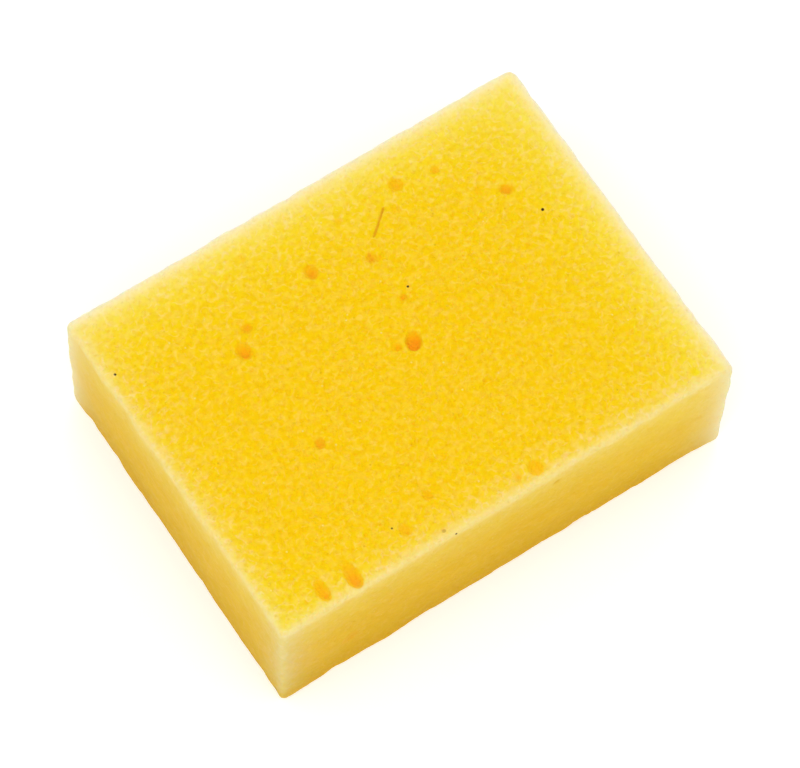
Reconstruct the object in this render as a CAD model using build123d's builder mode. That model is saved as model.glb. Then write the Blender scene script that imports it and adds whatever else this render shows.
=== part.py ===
"""A block of yellow open-cell foam, cut square, with blowholes from foaming open at its faces.

Frame: origin in the middle of the base, +X along the length, +Y across the width, +Z up.
The front is the side at -Y and the left is the side at -X. All lengths are in millimetres.
"""

from build123d import *
import os

os.makedirs("parts", exist_ok=True)

# Driving dimensions
LENGTH = 150.0
WIDTH = 112.0
THICKNESS = 50.0
UPRIGHT_EDGE_RADIUS = 2.0  # the four upright edges, worn by handling
RIM_RADIUS = 1.5  # the edges round the top and the base

# Blowholes of the top that were drawn out as the foam rose: x and y of the middle, length, width,
# depth, and the heading of the deeper end, in degrees from +X towards +Y.
DRAWN_OUT_BLOWHOLES = (
    (4.0, -1.0, 6.2, 4.4, 2.6, -120),
    (-49.0, -49.9, 10.0, 4.2, 1.6, -90),
    (-58.4, -49.0, 8.6, 3.7, 1.3, -90),
    (-37.5, 22.0, 5.8, 4.2, 1.9, -95),
    (-8.5, 32.5, 5.2, 3.9, 1.8, -90),
    (11.0, -50.5, 5.6, 4.6, 1.0, -80),
    (52.0, 24.5, 4.6, 3.4, 1.5, -35),
    (-29.5, -47.0, 4.3, 3.4, 1.1, -80),
    (-18.5, -42.0, 3.6, 2.9, 1.1, -90),
)
DRAWN_OUT_DIP = 12  # degrees that the deeper end dips

# Round blowholes: x and y on their face, mouth width, depth. Neighbours that overlap make one
# uneven pocket. The face is looked at from outside: x is to the right, and y is up from the base on
# a side, from the middle towards +Y on the top, and from the middle towards -Y on the base.
TOP_BLOWHOLES = (
    (-1.0, 0.0, 3.0, 1.0),
    (-33.0, 27.5, 3.2, 1.5),
    (8.0, 27.0, 3.3, 1.3),
    (10.0, 25.6, 2.4, 0.8),
    (26.5, 42.5, 4.8, 1.3),
    (38.5, 40.5, 3.0, 1.0),
    (45.0, 28.5, 2.5, 0.8),
    (48.0, 33.0, 2.0, 0.5),
    (-35.0, -13.0, 3.4, 1.6),
    (5.5, -51.0, 2.0, 0.8),
    (9.0, 12.0, 2.5, 1.0),
    (-20.5, -53.0, 1.4, 0.8),
    (6.5, 41.5, 2.5, 0.5),
    (-22.5, 46.5, 2.5, 0.5),
    (-47.5, 6.0, 2.5, 0.5),
    (65.0, -51.0, 3.5, 0.7),
    (57.0, -31.0, 2.5, 0.4),
    (51.5, -48.5, 2.5, 0.4),
    (32.0, -51.0, 2.5, 0.4),
    (22.0, 36.0, 2.6, 0.5),
    (33.0, -7.5, 2.2, 0.5),
    (25.5, -20.0, 2.2, 0.5),
    (51.5, 16.5, 2.0, 0.4),
    (22.0, -42.5, 2.2, 0.5),
)
BASE_BLOWHOLES = (
    (-52.0, -31.0, 4.0, 1.9),
    (-44.0, 36.0, 3.0, 1.3),
    (-21.0, -12.0, 4.5, 2.3),
    (-18.5, -13.5, 3.0, 1.5),
    (-9.0, 29.0, 2.5, 0.8),
    (14.0, -39.0, 3.5, 1.6),
    (23.0, 14.0, 5.0, 2.6),
    (37.0, 43.0, 3.0, 1.2),
    (46.0, -20.0, 2.5, 0.7),
    (62.0, 8.0, 4.0, 1.8),
    (-63.0, 4.0, 2.5, 0.6),
)
FRONT_BLOWHOLES = (
    (15.5, 44.0, 3.5, 0.5),
    (-52.0, 18.0, 3.0, 0.4),
)
BACK_BLOWHOLES = (
    (31.0, 32.0, 3.0, 1.0),
    (-42.0, 17.0, 2.2, 0.8),
)
LEFT_BLOWHOLES = ((18.0, 38.5, 1.6, 0.5),)
RIGHT_BLOWHOLES = (
    (12.0, 27.0, 2.6, 0.9),
    (-35.0, 38.0, 2.0, 0.5),
)

# A shallow nick torn in the front bottom edge. Its depth is counted from the square corner.
NICK_X = 25.5
NICK_RADIUS = 12.0
NICK_DEPTH = 1.5

# A knife slit in the top, lens-shaped as it gapes in the middle
SLIT_CENTRE = (16.0, 35.0)
SLIT_LENGTH = 9.4
SLIT_GAPE = 0.8
SLIT_DEPTH = 1.0
SLIT_ANGLE = 40.0  # degrees from +X towards +Y

# Each face's plane, with its normal outwards, and its blowholes
TOP_PLANE = Plane.XY.offset(THICKNESS)
FACES = (
    (TOP_PLANE, TOP_BLOWHOLES),
    (Plane((0, 0, 0), x_dir=(1, 0, 0), z_dir=(0, 0, -1)), BASE_BLOWHOLES),
    (Plane((0, -WIDTH / 2, 0), x_dir=(1, 0, 0), z_dir=(0, -1, 0)), FRONT_BLOWHOLES),
    (Plane((0, WIDTH / 2, 0), x_dir=(-1, 0, 0), z_dir=(0, 1, 0)), BACK_BLOWHOLES),
    (Plane((-LENGTH / 2, 0, 0), x_dir=(0, -1, 0), z_dir=(-1, 0, 0)), LEFT_BLOWHOLES),
    (Plane((LENGTH / 2, 0, 0), x_dir=(0, 1, 0), z_dir=(1, 0, 0)), RIGHT_BLOWHOLES),
)

with BuildPart() as foam_block:
    with BuildSketch():
        RectangleRounded(LENGTH, WIDTH, UPRIGHT_EDGE_RADIUS)
    extrude(amount=THICKNESS)
    fillet(foam_block.faces().filter_by(Axis.Z).edges(), RIM_RADIUS)

    for face_plane, blowholes in FACES:
        for face_x, face_y, mouth, depth in blowholes:
            ball_radius = (mouth**2 / 4 + depth**2) / (2 * depth)
            with Locations(face_plane):
                with Locations((face_x, face_y, ball_radius - depth)):
                    Sphere(ball_radius, mode=Mode.SUBTRACT)

    for top_x, top_y, length, width, depth, heading in DRAWN_OUT_BLOWHOLES:
        half_width = (width**2 / 4 + depth**2) / (2 * depth)
        half_length = half_width * length / width
        dipped = Plane((top_x, top_y, THICKNESS)).rotated((0, DRAWN_OUT_DIP, 0))
        bubble_plane = dipped.rotated((0, 0, heading)).offset(half_width - depth)
        with BuildSketch(bubble_plane):
            with BuildLine():
                EllipticalCenterArc((0, 0), half_length, half_width, arc_size=180)
                Line((-half_length, 0), (half_length, 0))
            make_face()
        revolve(axis=Axis(bubble_plane.origin, bubble_plane.x_dir), mode=Mode.SUBTRACT)

    nick_standoff = (NICK_RADIUS - NICK_DEPTH) / 2**0.5
    with Locations((NICK_X, -WIDTH / 2 - nick_standoff, -nick_standoff)):
        Sphere(NICK_RADIUS, mode=Mode.SUBTRACT)

    with BuildSketch(Plane((*SLIT_CENTRE, THICKNESS)).rotated((0, 0, SLIT_ANGLE))):
        with BuildLine():
            lip = ThreePointArc((-SLIT_LENGTH / 2, 0), (0, SLIT_GAPE / 2), (SLIT_LENGTH / 2, 0))
            mirror(lip, about=Plane.XZ)
        make_face()
    extrude(amount=-SLIT_DEPTH, mode=Mode.SUBTRACT)

foam_block.part.label = "foam_block"
export_step(foam_block.part, "parts/foam_block.step")
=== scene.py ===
"""A block of yellow open-cell foam: its looks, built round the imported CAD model."""
import math

import bpy
import numpy as np
from mathutils import Matrix, Vector


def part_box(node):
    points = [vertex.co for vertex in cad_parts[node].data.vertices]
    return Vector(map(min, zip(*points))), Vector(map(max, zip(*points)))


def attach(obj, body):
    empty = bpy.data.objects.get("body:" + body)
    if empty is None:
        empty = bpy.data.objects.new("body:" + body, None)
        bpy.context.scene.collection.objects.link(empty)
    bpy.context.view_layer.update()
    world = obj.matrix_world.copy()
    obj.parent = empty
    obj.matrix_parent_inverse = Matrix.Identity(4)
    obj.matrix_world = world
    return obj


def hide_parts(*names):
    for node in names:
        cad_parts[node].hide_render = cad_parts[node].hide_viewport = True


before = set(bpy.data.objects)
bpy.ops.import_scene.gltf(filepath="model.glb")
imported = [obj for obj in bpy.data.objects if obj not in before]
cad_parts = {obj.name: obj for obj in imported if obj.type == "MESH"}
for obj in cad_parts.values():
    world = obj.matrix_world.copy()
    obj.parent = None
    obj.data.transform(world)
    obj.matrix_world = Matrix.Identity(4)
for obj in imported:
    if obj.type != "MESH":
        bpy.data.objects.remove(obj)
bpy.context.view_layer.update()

MM = 0.001
BLOCK_LOW, BLOCK_HIGH = (np.array(corner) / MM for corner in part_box("foam_block"))

# ---------------------------------------------------------------- sizes, in millimetres

VOXEL = 0.42  # from point to point of the foam's skin
EDGE_RADIUS = 2.0  # the block's upright edges
SEED = 7

# How far the block's corners stand out from square. A key says left or right, front or back, and foot
# or top, as 0 or 1.
CORNER_SHIFTS = {
    (0, 1, 1): (-0.75, 0.35, 0.0),
    (1, 1, 1): (0.6, 0.35, 0.0),
    (1, 0, 1): (0.6, -0.4, 0.0),
    (0, 0, 0): (-0.2, -0.4, 0.0),
    (1, 0, 0): (0.5, -0.4, 0.0),
    (0, 1, 0): (-0.1, 0.0, 0.0),
}
LEFT_BOW = 0.2  # how far the left side's foot bows in

# How much each upright edge is drawn out to a sharper corner, and how far from the edge it reaches
UPRIGHT_PULLS = {(0, 0): 0.5, (1, 0): 0.6, (0, 1): 0.2}
PULL_REACH = 3.5

# The knife slit: its two ends, how far down it goes, how near its line it starts and is full, and how
# much deeper it is here than in the CAD
SLIT_ENDS = np.array(((12.6, 32.2), (19.3, 37.9)))
SLIT_REACH = 1.6
SLIT_START = 0.55
SLIT_FULL = 0.18
SLIT_EXTRA_DEPTH = 0.45

# Rounds of smoothing for the whole skin, for the lips of the blowholes and for how deep they look
SKIN_ROUNDS = 8
LIP_ROUNDS = 10
DEPTH_ROUNDS = 9
LIP_HOLLOW = (0.02, 0.30)  # the depths between which the smoothing of the lips comes in

# A wall of a blowhole that faces this way is in more shade and looks deeper
DEEPER_TOWARDS = np.array((0.15, 0.5, 0.0))

# Open cells that have a shape. The jitter is a share of the spacing. The depth is for a side, and
# the top's cells are deeper by the second number.
FINE_SPACING = 1.25
FINE_JITTER = 0.8
FINE_WALL = 0.55  # at a wall's foot, one middle is this much farther away than the other
FINE_DEPTH = (0.12, 0.16)
BIG_SPACING = 2.9
BIG_JITTER = 0.9
BIG_RADIUS = 1.1
BIG_LEAST_CHANCE = 0.72  # the big cells with a lower chance number are left out
BIG_DEPTH = (0.15, 0.25)

# Slow swells of the skin: from one random value to the next, and how high they go
SWELLS = ((9.0, 0.26), (3.5, 0.20))

# Light that comes through the foam's edges: its strength at the edge, and the distance over which it
# falls to about a third of that. The rims of the sides start a little way in from the edge.
FAR_HALO = (1.0, 12.0)
NEAR_HALO = (0.2, 8.0)
RIGHT_RIM = (1.0, 3.1)
BACK_RIM = (1.0, 3.4)
LEFT_RIM = (0.47, 3.6)
FRONT_RIM = (0.52, 3.6)
FAR_SIDE_RIM = (1.0, 2.4)
FAR_SIDE_RIM_START = 0.8
NEAR_SIDE_RIM = (0.5, 2.6)
OUTER_UPRIGHT_RIM = (1.0, 5.5)
OUTER_UPRIGHT_START = 0.7
FAR_UPRIGHT_RIM = (0.55, 5.5)
NEAR_UPRIGHT_BAND = (0.85, 5.1)
NEAR_TOP_BAND = (0.56, 3.6)
NEAR_TOP_CORNER = (1.0, 14.0)
ROUND_THE_EDGE = 2.2  # the top's looks give way to a side's within this distance

# Specks of dirt, stained cells, and painted shade on the floors of the faintest blowholes: place, radius
# and strength.
# A spot starts to fade inside its radius and is gone at half as much again.
SPECKS = (
    (57.6, 13.5, 50.0, 0.40, 1.0),
    (12.0, 14.0, 50.0, 0.34, 1.0),
    (-71.9, 35.4, 50.0, 0.38, 1.0),
    (-75.3, -53.2, 3.0, 0.55, 0.85),
    (-32.2, -45.1, 50.0, 0.28, 0.85),
    (-17.9, -55.9, 49.0, 0.30, 1.0),
    (-20.4, -53.4, 49.6, 0.5, 0.32),
)
STAINS = (
    (8.2, 28.3, 49.2, 0.6, 0.6),
    (9.8, 27.2, 49.0, 0.5, 0.6),
    (7.2, 26.2, 49.0, 0.6, 0.6),
    (9.0, 25.3, 49.2, 0.5, 0.6),
    (8.4, 26.9, 48.9, 0.6, 0.4),
    (8.1, 26.6, 49.2, 1.4, 0.3),
    (-35.0, -13.3, 49.0, 1.4, 0.3),
    (9.2, 11.8, 49.4, 1.0, 0.25),
    (52.3, 24.2, 49.2, 1.5, 0.25),
    (-33.0, 27.2, 49.2, 1.2, 0.2),
    (5.6, -51.1, 49.6, 1.1, 0.2),
    (-52.5, -56.0, 18.5, 2.6, 0.3),
)
FAINT_FLOORS = (
    (45.0, 28.5, 49.6, 1.2, 0.5),
    (55.7, -30.8, 49.8, 1.3, 0.6),
    (31.5, -51.3, 49.8, 1.2, 0.6),
    (-47.7, 5.8, 49.8, 1.3, 0.5),
    (-23.4, 46.6, 49.8, 1.3, 0.4),
    (51.4, 16.4, 49.8, 1.0, 0.4),
    (22.0, 36.0, 49.8, 1.3, 0.35),
    (6.5, 41.3, 49.8, 1.3, 0.35),
)

# ---------------------------------------------------------------- foam colours, linear

TOP_CORE = (0.985, 0.625, 0.006)
# Painted light: the paleness where light comes through the foam's edges, on the top's halo and rims, the
# sides' rims and the very edge
TOP_HALO = (0.985, 0.81, 0.23)
RIM = (0.985, 0.85, 0.60)
SIDE_RIM = (0.90, 0.81, 0.46)
EDGE = (1.0, 0.93, 0.80)
# Painted light on the near upright edge: a pale, dull band, less pale at its foot
NEAR_CORNER = (0.745, 0.645, 0.40)
NEAR_FOOT = (0.70, 0.585, 0.22)
# Painted shade on the sides: darker than the top, and darker still towards the foot
SIDE_HIGH = (0.865, 0.59, 0.092)
SIDE_MIDDLE = (0.80, 0.475, 0.035)
SIDE_LOW = (0.695, 0.40, 0.020)
FOOT_SHADE = (0.66, 0.36, 0.018)
# The pale cell walls of the grain, and a painted sheen on the block's ends
PALE_WALL_AND_SHEEN = (1.0, 0.84, 0.50)
# Painted shade in the floors of the fine open cells; LIT_WALL is a painted highlight on a few of their
# walls
OPEN_CELL_SHADE = (0.60, 0.34, 0.004)
LIT_WALL = (1.0, 0.85, 0.28)
# Painted shade in the hollows of the cells that have a shape
SHAPED_CELL_SHADE = (0.92, 0.50, 0.006)
# Painted shade in the blowholes: deeper orange with depth, paler where light comes through the edges, and
# duller on the sides
BLOWHOLE_SHADE = (0.955, 0.56, 0.003)
PALE_BLOWHOLE_SHADE = (0.91, 0.75, 0.003)
DEEP_BLOWHOLE_SHADE = (0.94, 0.33, 0.008)
SIDE_BLOWHOLE_SHADE = (0.72, 0.40, 0.012)
# Painted shade in the knife slit
SLIT_SHADE = (0.76, 0.38, 0.008)
# Painted shade on the floors of the faintest blowholes
FAINT_FLOOR_SHADE = (0.955, 0.59, 0.004)
STAIN = (0.86, 0.38, 0.012)
DIRT = (0.05, 0.03, 0.01)

# Tints, multiplied with another colour
# Painted light: NEAR_TOP pales the top towards its near corner, and LIGHT_END lightens the sides towards
# the right end
NEAR_TOP = (0.93, 1.17, 1.3)
LIGHT_END = (1.055, 1.095, 1.15)
CLOUD = (0.94, 0.90, 0.80)
GRAIN = (0.965, 0.925, 0.78)
DEEP_YELLOW = (0.97, 0.975, 0.06)

# ---------------------------------------------------------------- where the foam colours go

# Where one colour of a side, with its painted shade and light, gives way to the next, in millimetres above
# the base
FOOT_TO_LOW = (0.0, 10.0)
LOW_TO_MIDDLE = (4.0, 26.0)
MIDDLE_TO_HIGH = (24.0, 50.0)
NEAR_FOOT_TO_CORNER = (4.0, 24.0)
SIDE_RIM_TO_EDGE = (47.6, 49.6)
LIGHT_END_FROM_TO = (0.0, 65.0)  # along the block instead, from its middle

# Where the blowholes' painted shade comes in, in millimetres below the block's surface
BLOWHOLE_DEPTHS = (0.0, 0.46)
DEEP_BLOWHOLE_DEPTHS = (0.5, 2.4)

# Patterns: how fine, per metre, how much finer detail, and the noise values between which they come in
CLOUDS = (170.0, 2.0, 0.30, 0.70)
PATCHES = (420.0, 1.0, 0.42, 0.64)
FLECKS = (560.0, 0.0, 0.44, 0.62)
LIGHTER = (540.0, 1.0, 0.32, 0.60)  # the shade in the grain lies outside this one

# A fleck is as wavy as the line where this noise, as fine and with as much detail, is one half
WAVES = (450.0, 0.5)
WAVE_WIDTH = 0.10

# The painted open cells, with painted shade in their floors: how fine, the share of a cell from its floor
# to its wall, and which few of them stand out, by their chance number
CELL_SCALE = 820.0
FLOOR_TO_WALL = (0.05, 0.40)
RARE = (0.975, 1.0)

# How much of a colour or a pattern there is at most. A pair is for the top and for the sides.
CLOUD_SHARE = (0.12, 0.30)
GRAIN_SHARE = (1.0, 0.35)
# the painted sheen on the block's ends
END_SHEEN_SHARE = 0.045
EDGE_SHARE = 0.6
FOOT_SHARE = 0.5
PATCH_SHARE = 0.36
FLECK_SHARE = 0.64
FLECK_WALL_SHARE = 0.105
ANY_CELL_SHARE = 0.04
DARK_CELL_SHARE = 0.45
LIT_CELL_SHARE = 0.7
SHAPED_CELL_SHARE = 0.16
BLOWHOLE_SHARE = 0.85
DEEP_BLOWHOLE_SHARE = 0.78
SLIT_SHARE = 0.85

# ---------------------------------------------------------------- camera and lights, in degrees and metres

CAMERA_AZIMUTH = -37.2
CAMERA_ELEVATION = 66.2
CAMERA_ROLL = 4.24
CAMERA_DISTANCE = 1.376
CAMERA_TARGET = (0.0069, 0.0076, 0.0)
CAMERA_LENS = 212.6  # mm, on a sensor 36 mm wide

# Each light's azimuth, elevation, distance, size and power
KEY_LIGHT = (-45.0, 68.0, 1.6, 1.8, 13.6)
BACK_LIGHT = (138.0, 35.0, 1.8, 1.6, 5.5)
SURROUND = 0.565  # strength of the even light from all round
WHITE = (1.0, 1.0, 1.0, 1.0)

FLOOR_RADIUS = 12.0
FLOOR_GLOW = (0.97, 0.99, 1.0, 1.0)
FLOOR_DARKER = (0.93, 0.94, 0.95)
FLOOR_LIGHTER = (0.95, 0.96, 0.97)


# ---------------------------------------------------------------- numbers


def smoothstep(low, high, value):
    t = np.clip((value - low) / (high - low), 0.0, 1.0)
    return t * t * (3.0 - 2.0 * t)


def glow(distance, strength, reach):
    """Full strength at an edge, falling to about a third of it at the reach."""
    return strength * np.exp(-np.clip(distance, 0.0, None) / reach)


class Cells:
    """Foam cells: one centre in each cube of a grid, jittered. Lengths in millimetres."""

    def __init__(self, spacing, jitter, seed):
        self.spacing = spacing
        self.low = BLOCK_LOW - 3.0 * spacing
        counts = np.ceil((BLOCK_HIGH - BLOCK_LOW) / spacing).astype(int) + 6
        rng = np.random.default_rng(seed)
        self.shift = 0.5 + jitter * (rng.random((*counts, 3)) - 0.5)
        self.chance = rng.random(tuple(counts))

    def look(self, points):
        """For each point: the distances to the nearest two centres, and the nearest one's chance number."""
        home = np.floor((points - self.low) / self.spacing).astype(int)
        first = np.full(len(points), np.inf)
        second = np.full(len(points), np.inf)
        chance = np.zeros(len(points))
        for dx in (-1, 0, 1):
            for dy in (-1, 0, 1):
                for dz in (-1, 0, 1):
                    cube = home + (dx, dy, dz)
                    key = (cube[:, 0], cube[:, 1], cube[:, 2])
                    centre = self.low + (cube + self.shift[key]) * self.spacing
                    away = np.linalg.norm(points - centre, axis=1)
                    nearer = away < first
                    second = np.where(nearer, first, np.minimum(second, away))
                    chance = np.where(nearer, self.chance[key], chance)
                    first = np.where(nearer, away, first)
        return first, second, chance


class Swell:
    """Smooth random values on a grid, read between its points. Lengths in millimetres."""

    def __init__(self, spacing, seed):
        self.spacing = spacing
        self.low = BLOCK_LOW - 2.0 * spacing
        counts = np.ceil((BLOCK_HIGH - BLOCK_LOW) / spacing).astype(int) + 5
        self.values = np.random.default_rng(seed).uniform(-1.0, 1.0, tuple(counts))

    def look(self, points):
        place = (points - self.low) / self.spacing
        home = np.floor(place).astype(int)
        part = place - home
        part = part * part * (3.0 - 2.0 * part)
        total = np.zeros(len(points))
        for dx in (0, 1):
            for dy in (0, 1):
                for dz in (0, 1):
                    share = np.prod(np.where((dx, dy, dz), part, 1.0 - part), axis=1)
                    corner = home + (dx, dy, dz)
                    total += share * self.values[corner[:, 0], corner[:, 1], corner[:, 2]]
        return total


# ---------------------------------------------------------------- foam block


def remeshed_copy(node):
    """A new object with an even skin of quads over the CAD solid's shape."""
    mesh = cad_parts[node].data.copy()
    mesh.materials.clear()
    piece = bpy.data.objects.new("foam", mesh)
    bpy.context.scene.collection.objects.link(piece)
    remesh = piece.modifiers.new("even_quads", "REMESH")
    remesh.mode = "VOXEL"
    remesh.voxel_size = VOXEL * MM
    graph = bpy.context.evaluated_depsgraph_get()
    skin = bpy.data.meshes.new_from_object(piece.evaluated_get(graph))
    piece.modifiers.clear()
    piece.data = skin
    skin.name = "foam"
    return piece


def read_points(mesh):
    flat = np.empty(3 * len(mesh.vertices))
    mesh.vertices.foreach_get("co", flat)
    return flat.reshape(-1, 3) / MM


def write_points(mesh, points):
    mesh.vertices.foreach_set("co", (points * MM).ravel())
    mesh.update()


def read_normals(mesh):
    flat = np.empty(3 * len(mesh.vertices))
    mesh.vertices.foreach_get("normal", flat)
    return flat.reshape(-1, 3)


def read_links(mesh):
    flat = np.empty(2 * len(mesh.edges), dtype=np.int64)
    mesh.edges.foreach_get("vertices", flat)
    return flat.reshape(-1, 2)


def write_value(mesh, name, values):
    layer = mesh.attributes.new(name, "FLOAT", "POINT")
    layer.data.foreach_set("value", values.astype(np.float32))


def smoothed(values, links, rounds):
    """Rows of values, one for each vertex, each moved halfway to the mean of its neighbours."""
    first, second = links[:, 0], links[:, 1]
    count = np.bincount(links.ravel(), minlength=len(values)).astype(float)
    for _ in range(rounds):
        total = np.zeros_like(values)
        for column in range(values.shape[1]):
            total[:, column] += np.bincount(first, weights=values[second, column], minlength=len(values))
            total[:, column] += np.bincount(second, weights=values[first, column], minlength=len(values))
        values = values + 0.5 * (total / count[:, None] - values)
    return values


def paleness(points):
    """Where light comes through the foam's edges: a wide halo, a narrow rim and a duller near corner."""
    left, front, base = (points - BLOCK_LOW).T
    right, back, top = (BLOCK_HIGH - points).T
    end_gap, long_gap = np.minimum(left, right), np.minimum(front, back)
    side_gap = np.minimum(end_gap, long_gap)
    side = smoothstep(-ROUND_THE_EDGE, ROUND_THE_EDGE, np.minimum(base, top) - side_gap)
    on_far_side = np.minimum(right, back) < np.minimum(left, front)

    halo = 1.0 - (1.0 - glow(right, *FAR_HALO)) * (1.0 - glow(back, *FAR_HALO))
    halo += np.maximum(glow(left, *NEAR_HALO), glow(front, *NEAR_HALO))

    far_rim = np.maximum(glow(right, *RIGHT_RIM), glow(back, *BACK_RIM))
    near_rim = np.maximum(glow(left, *LEFT_RIM), glow(front, *FRONT_RIM))
    top_rim = np.maximum(far_rim, near_rim)

    # The upright edges at the right and the left are the outer ones, as seen in the photo
    to_outer = np.minimum(np.maximum(right, front), np.maximum(left, back))
    outer_rim = glow(to_outer - OUTER_UPRIGHT_START, *OUTER_UPRIGHT_RIM)
    far_upright_rim = glow(np.maximum(right, back), *FAR_UPRIGHT_RIM)
    far_side_rim = glow(top - FAR_SIDE_RIM_START, *FAR_SIDE_RIM)
    side_rim = np.where(on_far_side, far_side_rim, glow(top, *NEAR_SIDE_RIM))
    side_rim = np.maximum(side_rim, np.maximum(outer_rim, far_upright_rim))

    near_band = glow(np.maximum(left, front), *NEAR_UPRIGHT_BAND)
    near_top_band = glow(np.minimum(left, front), *NEAR_TOP_BAND)
    return {
        "halo": np.clip(halo, 0.0, 1.0),
        "rim": (1.0 - side) * top_rim + side * side_rim,
        "near_corner": side * near_band + (1.0 - side) * near_top_band,
        "near_top": (1.0 - side) * glow(left + front, *NEAR_TOP_CORNER),
        "side": side,
        "on_end": side * (end_gap < long_gap),
    }


def depth_inside(points):
    """How far each point is below the surface of the whole block, with its upright edges rounded."""
    middle, half = (BLOCK_LOW + BLOCK_HIGH) / 2.0, (BLOCK_HIGH - BLOCK_LOW) / 2.0
    beyond = np.abs(points - middle) - (half - EDGE_RADIUS)
    outside = np.linalg.norm(np.clip(beyond, 0.0, None), axis=1)
    return np.clip(EDGE_RADIUS - outside - np.clip(beyond.max(axis=1), None, 0.0), 0.0, None)


def out_of_square(points):
    """The small steps by which the block's corners and its left side leave the square shape."""
    share = np.clip((points - BLOCK_LOW) / (BLOCK_HIGH - BLOCK_LOW), 0.0, 1.0)
    step = np.zeros_like(points)
    for corner, shift in CORNER_SHIFTS.items():
        nearness = np.prod(np.where(corner, share, 1.0 - share), axis=1)
        step += nearness[:, None] * np.array(shift)
    for edge, pull in UPRIGHT_PULLS.items():
        upright = np.where(edge, BLOCK_HIGH[:2], BLOCK_LOW[:2])
        gap = np.abs(points[:, :2] - upright).sum(axis=1)
        step[:, :2] += glow(gap, pull, PULL_REACH)[:, None] * np.sign(upright)
    bow = np.sin(np.pi * share[:, 1]) * (1.0 - share[:, 2]) * (1.0 - share[:, 0])
    step[:, 0] += LEFT_BOW * bow
    return step


def from_slit(points):
    """How far each point is from the slit, seen from above, and far from it below the slit's floor."""
    start, run = SLIT_ENDS[0], SLIT_ENDS[1] - SLIT_ENDS[0]
    flat = points[:, :2]
    share = np.clip((flat - start) @ run / (run @ run), 0.0, 1.0)
    below = np.clip(BLOCK_HIGH[2] - SLIT_REACH - points[:, 2], 0.0, None)
    return np.linalg.norm(flat - start - share[:, None] * run, axis=1) + below


def fine_cells(points):
    """How open each fine cell is, from nothing at its walls to at most one in its middle."""
    first, second, chance = Cells(FINE_SPACING, FINE_JITTER, SEED).look(points)
    wall_gap = np.clip((second - first) / FINE_WALL, 0.0, 1.0)
    return smoothstep(0.0, 1.0, wall_gap) * (0.35 + 0.65 * chance)


def big_cells(points):
    """The same for the big cells, which are only here and there."""
    first, _, chance = Cells(BIG_SPACING, BIG_JITTER, SEED + 1).look(points)
    return smoothstep(0.0, 0.9, 1.0 - first / BIG_RADIUS) * (chance > BIG_LEAST_CHANCE)


def make_foam():
    piece = remeshed_copy("foam_block")
    mesh = piece.data
    points = read_points(mesh)
    links = read_links(mesh)
    shares = paleness(points)
    top_share = 1.0 - shares["side"]
    hollow = depth_inside(points)
    slit = smoothstep(SLIT_START, SLIT_FULL, from_slit(points))

    # Smooth the skin, and the lips of the blowholes once more
    points = smoothed(points, links, SKIN_ROUNDS)
    write_points(mesh, points)
    normals = read_normals(mesh)
    # Blowhole walls that face DEEPER_TOWARDS count as deeper, for more painted shade there
    hollow = hollow * (1.0 + top_share * (normals @ DEEPER_TOWARDS))
    hollow = smoothed(hollow[:, None], links, DEPTH_ROUNDS)[:, 0]
    points += smoothstep(*LIP_HOLLOW, hollow)[:, None] * (smoothed(points, links, LIP_ROUNDS) - points)

    # Sink the cells and the slit, and let the skin swell
    cell = fine_cells(points)
    height = -SLIT_EXTRA_DEPTH * slit
    for openness, (depth, more_on_top) in ((cell, FINE_DEPTH), (big_cells(points), BIG_DEPTH)):
        height -= openness * (depth + more_on_top * top_share)
    for number, (spacing, swell) in enumerate(SWELLS):
        height += swell * Swell(spacing, SEED + 2 + number).look(points)
    points += normals * height[:, None] + out_of_square(points)
    points[:, 2] = np.maximum(points[:, 2], BLOCK_LOW[2])
    write_points(mesh, points)

    mesh.polygons.foreach_set("use_smooth", np.ones(len(mesh.polygons), dtype=bool))
    shares.update(cell=cell, hollow_mm=hollow, slit=slit)
    for name, values in shares.items():
        write_value(mesh, name, values)
    return piece


# ---------------------------------------------------------------- material


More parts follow.
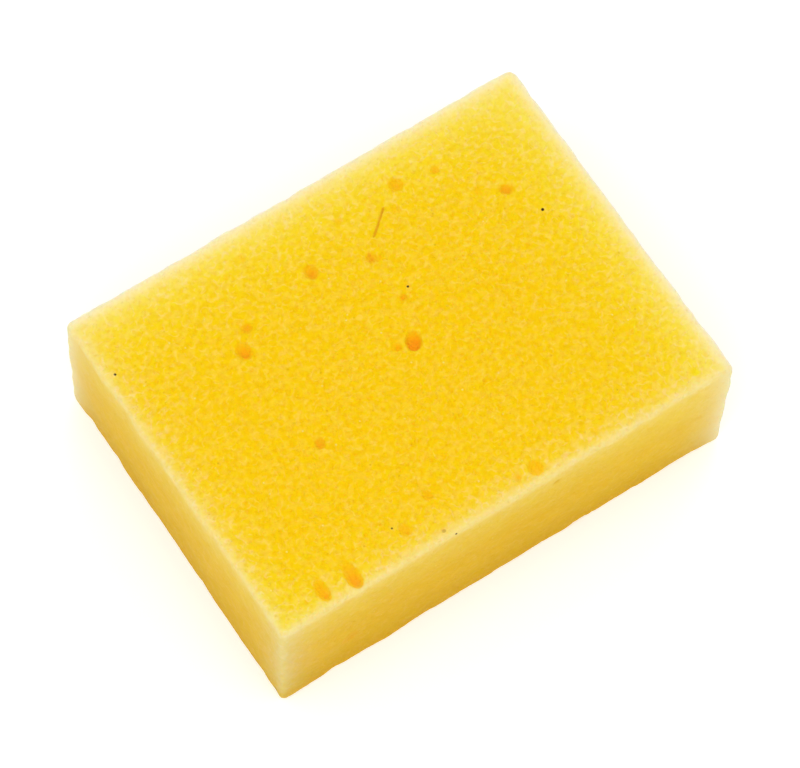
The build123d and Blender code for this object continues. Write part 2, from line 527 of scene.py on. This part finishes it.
class Nodes:
    """Short calls that add nodes to one material."""

    def __init__(self, name):
        self.material = bpy.data.materials.new(name)
        self.material.use_nodes = True
        self.tree = self.material.node_tree
        self.tree.nodes.clear()

    def add(self, kind, **settings):
        node = self.tree.nodes.new(kind)
        for name, value in settings.items():
            setattr(node, name, value)
        return node

    def put(self, socket, value):
        if isinstance(value, bpy.types.NodeSocket):
            self.tree.links.new(value, socket)
        else:
            socket.default_value = value

    def math(self, operation, a, b=0.0):
        node = self.add("ShaderNodeMath", operation=operation)
        self.put(node.inputs[0], a)
        self.put(node.inputs[1], b)
        return node.outputs[0]

    def product(self, a, b):
        return self.math("MULTIPLY", a, b)

    def ramp(self, value, low, high, to_low=0.0, to_high=1.0):
        node = self.add("ShaderNodeMapRange", interpolation_type="SMOOTHSTEP")
        for socket, number in zip(node.inputs[:5], (value, low, high, to_low, to_high)):
            self.put(socket, number)
        return node.outputs[0]

    def mix(self, share, a, b, blend="MIX"):
        node = self.add("ShaderNodeMix", data_type="RGBA", blend_type=blend)
        self.put(node.inputs[0], share)
        self.put(node.inputs[6], (*a, 1.0) if isinstance(a, tuple) else a)
        self.put(node.inputs[7], (*b, 1.0) if isinstance(b, tuple) else b)
        return node.outputs[2]

    def tinted(self, colour, tint):
        return self.mix(1.0, colour, tint, "MULTIPLY")

    def near(self, place, spot, radius):
        """One at a spot, falling to nothing at its radius."""
        node = self.add("ShaderNodeVectorMath", operation="DISTANCE")
        self.put(node.inputs[0], place)
        self.put(node.inputs[1], spot)
        return self.ramp(node.outputs["Value"], 0.5 * radius, radius, 1.0, 0.0)

    def attribute(self, name):
        return self.add("ShaderNodeAttribute", attribute_name=name).outputs["Fac"]

    def noise(self, place, scale, detail=2.0, roughness=0.5):
        node = self.add("ShaderNodeTexNoise")
        self.put(node.inputs["Vector"], place)
        self.put(node.inputs["Scale"], scale)
        self.put(node.inputs["Detail"], detail)
        self.put(node.inputs["Roughness"], roughness)
        return node.outputs["Fac"]

    def pattern(self, place, scale, detail, low, high):
        """Nothing where the noise is at its low value, and one where it is at its high one."""
        return self.ramp(self.noise(place, scale, detail), low, high)

    def surface(self, shader):
        self.put(self.add("ShaderNodeOutputMaterial").inputs["Surface"], shader.outputs["BSDF"])


def broad_colour(n, place, side, rim, halo):
    """The foam's colour without its grain: deep in the middle, with painted light, pale where light comes
    through the edges, and painted shade on the sides.
    """
    split = n.add("ShaderNodeSeparateXYZ")
    n.put(split.inputs[0], place)
    along, height = (n.product(split.outputs[axis], 1.0 / MM) for axis in ("X", "Z"))

    top_colour = n.mix(halo, TOP_CORE, TOP_HALO)
    # Painted shade on the sides, deepening towards the foot, and painted light towards the right end
    side_colour = n.mix(n.ramp(height, *LOW_TO_MIDDLE), SIDE_LOW, SIDE_MIDDLE)
    side_colour = n.mix(n.ramp(height, *MIDDLE_TO_HIGH), side_colour, SIDE_HIGH)
    light_end = n.tinted(side_colour, LIGHT_END)
    side_colour = n.mix(n.ramp(along, *LIGHT_END_FROM_TO), side_colour, light_end)
    colour = n.mix(side, top_colour, side_colour)

    clouds = n.product(n.pattern(place, *CLOUDS), n.ramp(side, 0.0, 1.0, *CLOUD_SHARE))
    colour = n.mix(clouds, colour, n.tinted(colour, CLOUD))
    # A painted sheen on the block's ends
    colour = n.mix(n.product(n.attribute("on_end"), END_SHEEN_SHARE), colour, PALE_WALL_AND_SHEEN)

    # Painted light where light comes through the edges: the top's near corner, the near upright edge, the
    # rims and the very edge
    colour = n.mix(n.attribute("near_top"), colour, n.tinted(colour, NEAR_TOP))
    near_colour = n.mix(n.ramp(height, *NEAR_FOOT_TO_CORNER), NEAR_FOOT, NEAR_CORNER)
    colour = n.mix(n.attribute("near_corner"), colour, near_colour)
    colour = n.mix(rim, colour, n.mix(side, RIM, SIDE_RIM))
    below_top = n.product(side, n.ramp(height, *SIDE_RIM_TO_EDGE, 1.0, 0.0))
    edge_colour = n.mix(below_top, EDGE, SIDE_RIM)
    colour = n.mix(n.ramp(rim, 0.75, 1.0, 0.0, EDGE_SHARE), colour, edge_colour)
    # Painted shade at the foot of the sides, less where the rims are pale
    foot = n.product(side, n.ramp(height, *FOOT_TO_LOW, FOOT_SHARE, 0.0))
    return n.mix(n.product(foot, n.ramp(rim, 0.0, 0.8, 1.0, 0.3)), colour, FOOT_SHADE)


def grained(n, place, colour, share):
    """Pale wavy flecks, thicker in patches, on a deeper yellow, with shade between them."""
    from_wave = n.math("ABSOLUTE", n.math("SUBTRACT", n.noise(place, *WAVES), 0.5))
    flecks = n.product(n.ramp(from_wave, 0.0, WAVE_WIDTH, 1.0, 0.0), n.pattern(place, *FLECKS))
    patches = n.pattern(place, *PATCHES)
    pale = n.math("ADD", n.product(patches, PATCH_SHARE), n.product(flecks, FLECK_SHARE))
    pale_colour = n.mix(FLECK_WALL_SHARE, colour, PALE_WALL_AND_SHEEN)
    mottled = n.mix(pale, n.tinted(colour, DEEP_YELLOW), pale_colour)
    colour = n.mix(share, colour, mottled)
    shade = n.math("SUBTRACT", 1.0, n.pattern(place, *LIGHTER))
    return n.mix(n.product(shade, share), colour, n.tinted(colour, GRAIN))


def pricked(n, colour, share, cells, open_cell):
    """Painted shade in the floors of the fine open cells, a few of them dark, a painted highlight on a few
    of their walls, and painted shade in the cells that have a shape.
    """
    chance = n.add("ShaderNodeSeparateColor")
    n.put(chance.inputs[0], cells.outputs["Color"])
    here = n.product(open_cell, share)
    few_dark, few_lit = (n.ramp(chance.outputs[number], *RARE) for number in (0, 1))
    darkness = n.math("ADD", ANY_CELL_SHARE, n.product(few_dark, DARK_CELL_SHARE))
    colour = n.mix(n.product(here, darkness), colour, OPEN_CELL_SHADE)
    colour = n.mix(n.product(n.product(here, few_lit), LIT_CELL_SHARE), colour, LIT_WALL)
    return n.mix(n.product(n.attribute("cell"), SHAPED_CELL_SHARE), colour, SHAPED_CELL_SHADE)


def holed(n, place, colour, side, halo):
    """Painted shade in the blowholes, the knife slit and the floors of the faintest blowholes, and the
    stains and specks of dirt.
    """
    hollow = n.attribute("hollow_mm")
    shallow_colour = n.mix(n.ramp(halo, 0.36, 0.6), BLOWHOLE_SHADE, PALE_BLOWHOLE_SHADE)
    shallow_colour = n.mix(side, shallow_colour, SIDE_BLOWHOLE_SHADE)
    deep_colour = n.mix(side, DEEP_BLOWHOLE_SHADE, SIDE_BLOWHOLE_SHADE)
    shallow = n.ramp(hollow, *BLOWHOLE_DEPTHS, 0.0, BLOWHOLE_SHARE)
    deep = n.ramp(hollow, *DEEP_BLOWHOLE_DEPTHS, 0.0, DEEP_BLOWHOLE_SHARE)
    colour = n.mix(deep, n.mix(shallow, colour, shallow_colour), deep_colour)
    colour = n.mix(n.product(n.attribute("slit"), SLIT_SHARE), colour, SLIT_SHADE)
    for spots, spot_colour in ((FAINT_FLOORS, FAINT_FLOOR_SHADE), (STAINS, STAIN), (SPECKS, DIRT)):
        for x, y, z, radius, strength in spots:
            spot = n.near(place, (x * MM, y * MM, z * MM), 1.5 * radius * MM)
            colour = n.mix(n.product(spot, strength), colour, spot_colour)
    return colour


def foam_material():
    n = Nodes("foam_yellow")
    place = n.add("ShaderNodeTexCoord").outputs["Object"]
    side, rim, halo = (n.attribute(name) for name in ("side", "rim", "halo"))

    # The grain is fainter on the sides and in the light that comes through
    grain_share = n.product(n.ramp(side, 0.0, 1.0, *GRAIN_SHARE), n.ramp(rim, 0.0, 0.65, 1.0, 0.12))
    grain_share = n.product(grain_share, n.ramp(halo, 0.1, 0.8, 1.0, 0.75))
    cells = n.add("ShaderNodeTexVoronoi")
    n.put(cells.inputs["Vector"], place)
    n.put(cells.inputs["Scale"], CELL_SCALE)
    open_cell = n.ramp(cells.outputs["Distance"], *FLOOR_TO_WALL, 1.0, 0.0)

    colour = broad_colour(n, place, side, rim, halo)
    colour = grained(n, place, colour, grain_share)
    colour = pricked(n, colour, grain_share, cells, open_cell)
    colour = holed(n, place, colour, side, halo)

    relief = n.math("ADD", n.product(open_cell, -0.7), n.product(n.noise(place, 700.0, 3.0, 0.6), 0.9))
    bump = n.add("ShaderNodeBump")
    n.put(bump.inputs["Strength"], 0.6)
    n.put(bump.inputs["Distance"], 0.3 * MM)
    n.put(bump.inputs["Height"], relief)

    shader = n.add("ShaderNodeBsdfPrincipled")
    n.put(shader.inputs["Roughness"], 0.9)
    n.put(shader.inputs["Specular IOR Level"], 0.1)
    n.put(shader.inputs["Subsurface Weight"], 0.4)
    n.put(shader.inputs["Subsurface Radius"], (1.0, 0.6, 0.2))
    n.put(shader.inputs["Subsurface Scale"], 6.0 * MM)
    n.put(shader.inputs["Base Color"], colour)
    n.put(shader.inputs["Normal"], bump.outputs["Normal"])
    n.surface(shader)
    return n.material


def floor_material():
    """White that glows a little, more so away from the block."""
    n = Nodes("floor_white")
    place = n.add("ShaderNodeTexCoord").outputs["Object"]
    away = n.add("ShaderNodeVectorMath", operation="LENGTH")
    n.put(away.inputs[0], place)
    shader = n.add("ShaderNodeBsdfPrincipled")
    n.put(shader.inputs["Roughness"], 0.8)
    n.put(shader.inputs["Specular IOR Level"], 0.1)
    n.put(shader.inputs["Base Color"], n.mix(n.noise(place, 3.0), FLOOR_DARKER, FLOOR_LIGHTER))
    n.put(shader.inputs["Emission Color"], FLOOR_GLOW)
    n.put(shader.inputs["Emission Strength"], n.ramp(away.outputs["Value"], 0.15, 1.2, 0.22, 0.6))
    n.surface(shader)
    return n.material


# ---------------------------------------------------------------- stage


def make_floor():
    bpy.ops.mesh.primitive_circle_add(vertices=96, radius=FLOOR_RADIUS, fill_type="NGON")
    floor = bpy.context.object
    floor.name = "floor"
    floor.data.materials.append(floor_material())


def direction(azimuth, elevation):
    """From the middle of the scene towards a camera or a light."""
    a, e = math.radians(azimuth), math.radians(elevation)
    return Vector((math.sin(a) * math.cos(e), -math.cos(a) * math.cos(e), math.sin(e)))


def area_light(name, azimuth, elevation, distance, size, power):
    data = bpy.data.lights.new(name, "AREA")
    data.shape = "DISK"
    data.size = size
    data.energy = power
    light = bpy.data.objects.new(name, data)
    bpy.context.scene.collection.objects.link(light)
    back = direction(azimuth, elevation)
    light.location = back * distance
    light.rotation_mode = "QUATERNION"
    light.rotation_quaternion = back.to_track_quat("Z", "Y")


def make_lights():
    """A big soft key light, a weaker one behind, and an even surround that the camera sees as white."""
    area_light("key", *KEY_LIGHT)
    area_light("back", *BACK_LIGHT)
    world = bpy.data.worlds.new("studio")
    world.use_nodes = True
    tree = world.node_tree
    surround = tree.nodes["Background"]
    surround.inputs["Color"].default_value = WHITE
    surround.inputs["Strength"].default_value = SURROUND
    backdrop = tree.nodes.new("ShaderNodeBackground")
    backdrop.inputs["Color"].default_value = WHITE
    rays = tree.nodes.new("ShaderNodeLightPath")
    choose = tree.nodes.new("ShaderNodeMixShader")
    tree.links.new(rays.outputs["Is Camera Ray"], choose.inputs[0])
    tree.links.new(surround.outputs[0], choose.inputs[1])
    tree.links.new(backdrop.outputs[0], choose.inputs[2])
    tree.links.new(choose.outputs[0], tree.nodes["World Output"].inputs["Surface"])
    bpy.context.scene.world = world


def make_camera():
    data = bpy.data.cameras.new("camera")
    data.lens = CAMERA_LENS
    data.sensor_width = 36.0
    data.clip_start = 0.05
    data.clip_end = 50.0
    camera = bpy.data.objects.new("camera", data)
    bpy.context.scene.collection.objects.link(camera)
    back = direction(CAMERA_AZIMUTH, CAMERA_ELEVATION)
    level = Vector((0, 0, 1)).cross(back).normalized()
    turned = Matrix((level, back.cross(level), back)).transposed()
    roll = Matrix.Rotation(math.radians(CAMERA_ROLL), 3, "Z")
    camera.rotation_mode = "QUATERNION"
    camera.rotation_quaternion = (turned @ roll).to_quaternion()
    camera.location = Vector(CAMERA_TARGET) + back * CAMERA_DISTANCE
    bpy.context.scene.camera = camera


make_camera()
make_floor()
make_lights()
foam = make_foam()
foam.data.materials.append(foam_material())
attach(foam, "root")
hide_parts("foam_block")
bpy.context.scene.view_settings.view_transform = "Standard"
